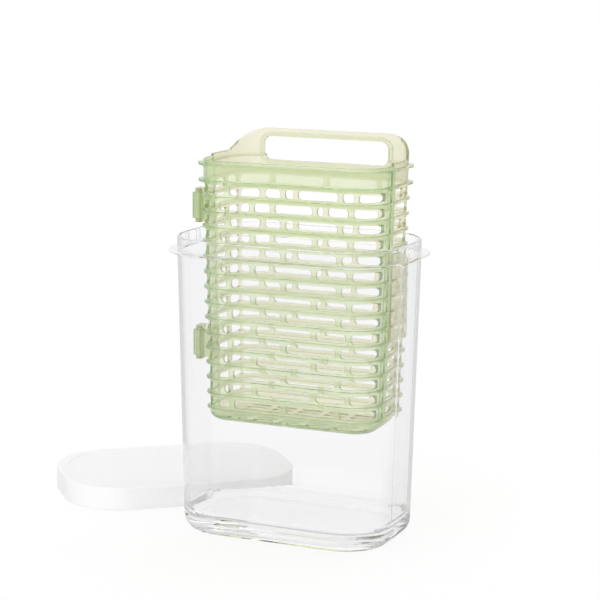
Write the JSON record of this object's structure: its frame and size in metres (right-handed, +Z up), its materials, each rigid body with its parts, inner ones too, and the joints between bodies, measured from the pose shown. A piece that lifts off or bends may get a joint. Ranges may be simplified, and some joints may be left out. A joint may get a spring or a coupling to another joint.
{
  "type": "herb keeper",
  "caption": "Clear oval-cornered tumbler with a frosted lid beside it and a green slotted lift-out basket with a handle, held half-way up.",
  "frame": {"origin": "centre of the tumbler's base, on the table", "axes": "+Z up out of the tumbler's mouth, +X along its long side towards the basket's latch, -Y towards the basket's door"},
  "size_m": [0.2785, 0.19, 0.2548],
  "materials": {
    "clear": "clear gloss",
    "frosted": "frosted",
    "pale_green": "translucent satin",
    "green": "translucent satin"
  },
  "bodies": {
    "tumbler": {"container": "clear"},
    "lid": {"lid": "frosted"},
    "basket": {"basket_back": "pale_green"},
    "door": {"basket_front": "green"}
  },
  "joints": [
    {"name": "basket_lift", "type": "slide", "parent": "tumbler", "child": "basket", "axis": [0, 0, 1], "range_m": [-0.061, 0.125]},
    {"name": "door_swing", "type": "hinge", "parent": "basket", "child": "door", "pos_m": [-0.0644, -0.0125, 0.1642], "axis": [0, 0, -1], "range_deg": [0, 2.5]},
    {"name": "lid_lift", "type": "slide", "parent": "tumbler", "child": "lid", "axis": [0, 0, 1], "range_m": [0, 0.05]}
  ]
}
